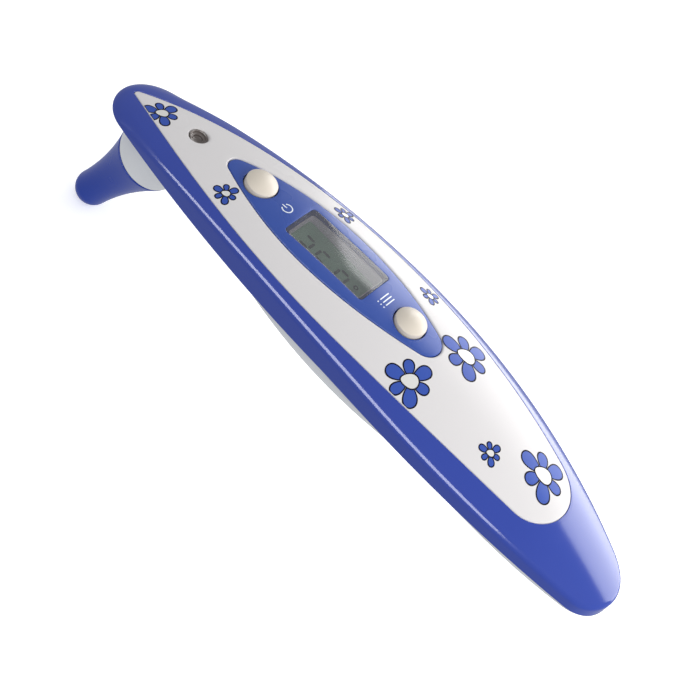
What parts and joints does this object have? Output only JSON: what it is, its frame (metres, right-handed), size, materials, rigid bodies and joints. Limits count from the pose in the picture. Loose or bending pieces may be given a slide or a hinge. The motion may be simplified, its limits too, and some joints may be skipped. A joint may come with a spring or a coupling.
{
  "type": "digital ear thermometer",
  "caption": "Leaf-shaped ear thermometer with a crowned face, display, two domed buttons, battery door and a flared infrared probe at the back of one end.",
  "frame": {"origin": "below the middle of the body, on its plane of symmetry, level with the lowest point of the probe tip", "axes": "+Z leaves the front face, +Y runs along the body towards the probe end, +X across the width"},
  "size_m": [0.0366, 0.15, 0.0481],
  "materials": {
    "blue_gloss": "glossy",
    "white_satin": "satin",
    "blue_satin": "satin",
    "window": "clear",
    "cream": "glossy",
    "smoke": "glossy",
    "led_body": "glossy",
    "white_shell": "glossy",
    "steel": "satin",
    "foam": "matte",
    "seal": "matte",
    "blue_cone": "glossy",
    "ir_window": "glossy",
    "gold_tube": "polished",
    "zinc": "satin",
    "sensor_can": "satin",
    "board_green": "satin",
    "ribbon": "satin",
    "chip_black": "matte",
    "ceramic": "satin",
    "lcd": "glossy",
    "frame_white": "matte",
    "strip_rubber": "matte",
    "cell_steel": "satin",
    "contact_metal": "satin"
  },
  "bodies": {
    "body": {"front_bezel": "blue_gloss", "decor_plate": "white_satin", "control_panel": "blue_satin", "lcd_window": "window", "indicator_lens": "smoke", "indicator_led": "led_body", "rear_shell": "white_shell", "case_screws": "steel", "probe_neck": "white_shell", "probe_seal": "seal", "probe_cone": "blue_cone", "probe_window": "ir_window", "waveguide_tube": "gold_tube", "sensor_holder": "zinc", "thermopile_sensor": "sensor_can", "sensor_board": "board_green", "sensor_ribbon": "ribbon", "main_board": "board_green", "board_screws": "steel", "controller_chip": "chip_black", "crystal_can": "sensor_can", "board_capacitors": "ceramic", "buzzer": "chip_black", "on_switch": "chip_black", "mem_switch": "chip_black", "lcd_glass": "lcd", "lcd_frame": "frame_white", "contact_strips": "strip_rubber", "coin_cell": "cell_steel", "cell_cradle": "chip_black", "cell_contact_plus": "contact_metal", "cell_contact_minus": "contact_metal"},
    "on_key": {"on_button": "cream"},
    "mem_key": {"mem_button": "cream"},
    "door": {"battery_door": "white_shell", "battery_door_screw": "steel", "door_pad": "foam"}
  },
  "joints": [
    {"name": "on_press", "type": "slide", "parent": "body", "child": "on_key", "axis": [0, 0, -1], "range_m": [0, 0.0008], "stiffness_N_per_m": 900, "springref_m": -0.0008},
    {"name": "mem_press", "type": "slide", "parent": "body", "child": "mem_key", "axis": [0, 0, -1], "range_m": [0, 0.0008], "stiffness_N_per_m": 900, "springref_m": -0.0008},
    {"name": "door_lift", "type": "slide", "parent": "body", "child": "door", "axis": [0, 0, -1], "range_m": [0, 0.012]}
  ]
}
